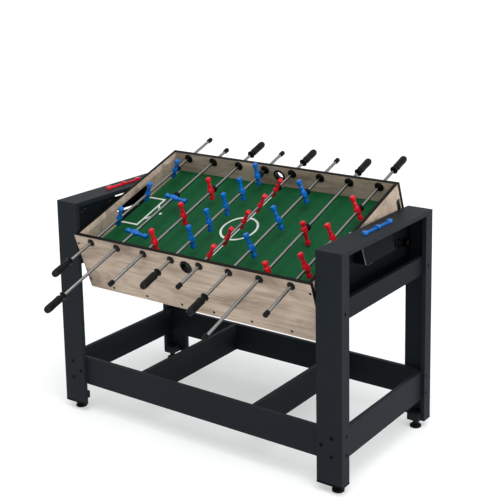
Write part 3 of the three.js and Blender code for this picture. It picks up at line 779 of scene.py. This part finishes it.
# cups behind the bed, rims through the cushions, dark plates between the pockets and the walls
CUP_TOP = POOL_Z + BED_THICK + SEAM
CUP_BOTTOM = CUP_TOP + 42
PLATE_REACH = 18
for name, x, y, r in POCKETS:
    half = "left" if x < 0 or (x == 0 and y < 0) else "right"
    me = turned_mesh("cup", [(r + 2.4, CUP_TOP), (r + 2.4, CUP_BOTTOM), (0, CUP_BOTTOM),
                             (0, CUP_BOTTOM - 3), (r - 2, CUP_BOTTOM - 3), (r, CUP_TOP + 6),
                             (r, CUP_TOP)], 56, 1.0, (x, y, 0), "Z")
    put(f"pocket_cup_{name}", me, BLACK, "cabinet", CAB, [f"pocket_cups_{half}"])
    me = turned_mesh("rim", [(r - 0.2, POOL_Z + BED_THICK - 1), (r - 0.2, RIM_Z - 0.2),
                             (r + 3.3, RIM_Z - 0.2), (r + 3.3, TOP_Z), (r + 0.4, TOP_Z)],
                     56, 0.8, (x, y, 0), "Z")
    put(f"pocket_rim_{name}", me, RUBBER, "cabinet", CAB)
    sx, sy = (math.copysign(1, x) if x else 0), math.copysign(1, y)
    span_x = span(x - sx * PLATE_REACH, sx * BED_X) if x else (-32, 32)
    span_y = span(y - (sy * PLATE_REACH if x else 0), sy * BED_Y)
    me = box_mesh("plate", (span_x[0], span_y[0], RIM_Z - 0.2), (span_x[1], span_y[1], RIM_Z + 0.8))
    me = bored("plate", me, pocket_bores(3.1, RIM_Z - 5, RIM_Z + 5, [(name, x, y, r)]))
    put(f"pocket_plate_{name}", me, CHARCOAL, "cabinet", CAB)

# ---------------------------------------------------------------- rods

# a player from the feet to the head: place, half width across, half depth, squareness
LOFT = (
    (59.3, 7.6, 6.2, 9), (58.8, 8.2, 6.8, 12), (53.0, 8.35, 6.9, 14), (46.5, 8.2, 6.8, 14),
    (43.0, 7.4, 6.2, 10), (40.6, 5.7, 4.9, 6), (38.0, 4.9, 4.3, 4), (34.5, 5.5, 4.7, 4),
    (31.0, 6.6, 5.4, 4), (28.0, 7.0, 5.9, 4), (24.5, 6.5, 5.4, 4), (20.0, 6.3, 5.2, 4),
    (16.0, 7.8, 6.2, 5), (11.5, 9.8, 7.4, 6), (6.0, 10.6, 7.95, 8), (0.0, 10.9, 7.95, 8),
    (-6.0, 10.9, 7.95, 8), (-10.6, 10.5, 7.6, 7), (-12.6, 8.8, 6.6, 5), (-14.4, 5.9, 5.2, 4),
    (-16.4, 5.2, 4.8, 4), (-18.4, 6.2, 5.6, 6), (-21.0, 7.2, 6.5, 9), (-26.0, 8.0, 7.1, 12),
    (-31.5, 8.7, 7.7, 12), (-33.3, 8.5, 7.5, 10), (-34.0, 7.6, 6.6, 8),
)
HUB_R, HUB_HALF = 7.7, 10.9


def player_into(bm, place):
    segs = 40
    rings = []
    for z, half_wide, half_deep, q in LOFT:
        points = []
        for k in range(segs):
            a = 2 * math.pi * (k + 0.5) / segs
            c, s = math.cos(a), math.sin(a)
            r = (abs(c) ** q + abs(s) ** q) ** (-1 / q)
            x, y = half_deep * r * c, half_wide * r * s
            if 13 < z < 44:  # the gap between the legs
                x *= 1 - 0.3 * math.exp(-((y / 1.7) ** 2))
            if -13 < z < 9:  # the arms at the sides
                x *= 1 - 0.3 * math.exp(-(((abs(y) - 0.66 * half_wide) / 1.2) ** 2))
            points.append((x, y + place, z))
        rings.append(verts_at(bm, points))
    capped(bm, rings)
    # the hub on the rod
    lathe(bm, [(5.6, -HUB_HALF), (HUB_R, -HUB_HALF), (HUB_R, HUB_HALF), (5.6, HUB_HALF)],
          28, 0.6, (0, place, 0), "Y")


GRIP_LONG = 90
GRIP = filleted([(5.7, 0), (13.2, 0), (14.9, 1.6), (14.9, 4.6), (13.2, 6.2), (8.0, 7.0),
                 (7.4, 10.0), (8.0, 14.4), (12.2, 17.0), (13.7, 22), (13.0, 45), (13.7, 72),
                 (13.0, 81), (10.4, 87.4), (6.6, 89.8), (5.4, 89.4), (4.9, 87.6), (0, 87.4)], 1.2)
GRIP_STEP = 1.3  # longest step between rings
PIT_FROM, PIT_TO, PIT_PITCH, PIT_LONG, PIT_DEEP = 24, 80, 8.0, 6.0, 2.4


def pit(place, angle):
    """Depth of the grip's surface: rows of eight pits between its ribs."""
    along = (place - PIT_FROM) % PIT_PITCH
    window = min(1.0, max(0.0, min(along - 0.6, PIT_LONG - along) / 0.9))
    return PIT_DEEP * window * max(0.0, math.cos(8 * angle)) ** 0.7


def grip_into(bm, start):
    dense = [GRIP[0]]
    for a, b in zip(GRIP, GRIP[1:]):
        steps = max(1, math.ceil((b - a).length / GRIP_STEP))
        dense += [a.lerp(b, k / steps) for k in range(1, steps + 1)]
    rings = []
    for p in dense:
        ribbed = PIT_FROM < p.y < PIT_TO and p.x > 10
        radius = (lambda a: p.x - pit(p.y, a)) if ribbed else p.x
        rings.append(turned_ring(bm, radius, start + p.y, "Y", ORIGIN, 72))
    join_rings(bm, rings)


ROD_R = 5.5
BUSH_OUT, BUSH_IN = 7, 5  # how far the bushings stand out of the wall's faces
BUMPER_FROM = 11.3  # from the middle of the last player to the bumper ring
BUMPER_LONG, BUMPER_PLAY = 14, 1.9
GRIP_CLEAR = 42.5  # bare rod left at the grip when the rod is pushed in
CAP_LONG = 20

for i, (count, colour, side, share, turn) in enumerate(RODS):
    n = i + 1
    step = SHARES[count] * 2 * IN_D
    last = (count - 1) / 2 * step
    bumper = last + BUMPER_FROM
    travel = IN_D - BUSH_IN - BUMPER_PLAY - BUMPER_LONG - bumper
    out = HALF_D + BUSH_OUT + travel
    grip_end, cap_end = out + GRIP_CLEAR + GRIP_LONG, out + CAP_GAP[count] + CAP_LONG
    carrier = CAB @ Matrix.Translation((ROD_X[i] * MM, share * travel * MM, ROD_Z * MM))
    facing = Matrix.Rotation(0 if side > 0 else math.pi, 4, "Z")
    spun = carrier @ Matrix.Rotation(math.radians(turn), 4, "Y") @ facing
    body = f"rod_set_{n}"
    slot = f"rod_{colour}"

    lo, hi = -cap_end + 2, grip_end - 12
    me = turned_mesh("rod", [(0, lo), (ROD_R, lo), (ROD_R, hi), (0, hi)], 32, 0.3, ORIGIN, "Y")
    put(f"rod_bar_{n}", me, CHROME, body, spun, [f"rod_{n}"])
    cap = ((5.6, CAP_LONG), (8.6, CAP_LONG), (8.9, 2.5), (7.4, -0.5), (0, -0.5))
    me = turned_mesh("cap", [(r, y - cap_end) for r, y in cap], 32, 0.9, ORIGIN, "Y")
    put(f"rod_cap_{n}", me, RUBBER, body, spun)
    for k in range(count):
        bm = bmesh.new()
        player_into(bm, -last + k * step)
        put(f"player_{n}_{k + 1}", finish_mesh(bm, "player", 30), TEAM[colour], body, spun)
    bm = bmesh.new()
    grip_into(bm, grip_end - GRIP_LONG)
    put(f"grip_{n}", finish_mesh(bm, "grip", 40), BLACK, body, spun,
        [f"handle_{n}"])

    # the bumper ring slides with the rod but doesn't turn
    ring = [(6.0, 0), (11.2, 0), (12.4, 1.2), (12.4, 5.6), (11.6, 7), (12.4, 8.4), (12.4, 12.8),
            (11.2, BUMPER_LONG), (6.0, BUMPER_LONG), (6.0, 0)]
    me = turned_mesh("bumper", [(r, bumper + y) for r, y in ring], 36, 0.6, ORIGIN, "Y")
    put(f"bumper_rubber_{n}", me, RUBBER, f"bumper_ring_{n}", carrier,
        [f"bumper_{n}"])

# ---------------------------------------------------------------- stage, light and camera

FLOOR_HALF = 30  # metres
bm = bmesh.new()
bm.faces.new([bm.verts.new((x * FLOOR_HALF, y * FLOOR_HALF, 0)) for x, y in CORNERS])
floor = bpy.data.objects.new("floor", finish_mesh(bm, "floor", 0))
bpy.context.scene.collection.objects.link(floor)


def sees_background(nt):
    """1 for camera, glossy and transmission rays."""
    lp = nt.nodes.new("ShaderNodeLightPath")
    direct = calc(nt, "MAXIMUM", lp.outputs["Is Camera Ray"], lp.outputs["Is Glossy Ray"])
    return calc(nt, "MAXIMUM", direct, lp.outputs["Is Transmission Ray"])


def shader_mix(nt, fac, a, b):
    n = nt.nodes.new("ShaderNodeMixShader")
    for i, socket in enumerate((fac, a, b)):
        nt.links.new(socket, n.inputs[i])
    return n.outputs[0]


# the floor lights the object as a plain white, and shows as white with the object's shadow
m, nt, b = new_mat("floor_white")
n = noise(nt, coords(nt), 2.0, 4)
nt.links.new(ramp(nt, n, [(0.3, grey(0.95)), (0.7, grey(0.96))]), b.inputs["Base Color"])
b.inputs["Roughness"].default_value = 0.95
b.inputs["Specular IOR Level"].default_value = 0.05
veil = node(nt, "ShaderNodeBsdfDiffuse")
veil_colour = ramp(nt, n, [(0.3, (0.66, 0.67, 0.68)), (0.7, (0.665, 0.675, 0.685))])
nt.links.new(veil_colour, veil.inputs["Color"])
glow = node(nt, "ShaderNodeEmission", Strength=0.42)
both = nt.nodes.new("ShaderNodeAddShader")
nt.links.new(veil.outputs[0], both.inputs[0])
nt.links.new(glow.outputs[0], both.inputs[1])
nt.links.new(shader_mix(nt, sees_background(nt), b.outputs[0], both.outputs[0]),
             nt.nodes["Material Output"].inputs["Surface"])
floor.data.materials.append(m)

# the world: weaker light on the object than the white that is seen
world = bpy.data.worlds.new("studio")
bpy.context.scene.world = world
world.use_nodes = True
nt = world.node_tree
nt.nodes.clear()
ambient, seen = [node(nt, "ShaderNodeBackground", Color=(1, 1, 1, 1), Strength=s)
                 for s in (0.56, 1.0)]
sky = nt.nodes.new("ShaderNodeOutputWorld")
nt.links.new(shader_mix(nt, sees_background(nt), ambient.outputs[0], seen.outputs[0]),
             sky.inputs["Surface"])


def sun(name, travel, strength, spread):
    d = bpy.data.lights.new(name, "SUN")
    d.energy = strength
    d.angle = math.radians(spread)
    o = bpy.data.objects.new(name, d)
    bpy.context.scene.collection.objects.link(o)
    o.rotation_euler = Vector(travel).to_track_quat("-Z", "Y").to_euler()


sun("key", (-0.36, 0.32, -1.0), 1.74, 44)
sun("side", (-1.0, 0.12, -0.05), 1.48, 12)

# the camera: angles in radians, place in metres, focal length and centre in pixels of the picture
PICTURE = 500
YAW, PITCH, ROLL = 0.5974, 0.1837, -0.0111
CAMERA_AT = (2.2729, -3.0295, 1.8326)
FOCAL, CENTRE_X, CENTRE_Y = 1091.8, 288.45, 115.62
SENSOR = 36
cam_data = bpy.data.cameras.new("camera")
cam = bpy.data.objects.new("camera", cam_data)
bpy.context.scene.collection.objects.link(cam)
bpy.context.scene.camera = cam
ahead = Vector((-math.sin(YAW) * math.cos(PITCH), math.cos(YAW) * math.cos(PITCH),
                -math.sin(PITCH)))
right = Vector((math.cos(YAW), math.sin(YAW), 0))
up = right.cross(ahead)
rolled_right = math.cos(ROLL) * right + math.sin(ROLL) * up
rolled_up = -math.sin(ROLL) * right + math.cos(ROLL) * up
rot = Matrix((rolled_right, rolled_up, -ahead)).transposed()
cam.matrix_world = Matrix.Translation(CAMERA_AT) @ rot.to_4x4()
cam_data.sensor_width = SENSOR
cam_data.lens = FOCAL * SENSOR / PICTURE
cam_data.shift_x = (PICTURE / 2 - CENTRE_X) / PICTURE
cam_data.shift_y = (CENTRE_Y - PICTURE / 2) / PICTURE
cam_data.clip_end = 60

bpy.context.scene.view_settings.view_transform = "Standard"

bpy.context.view_layer.update()
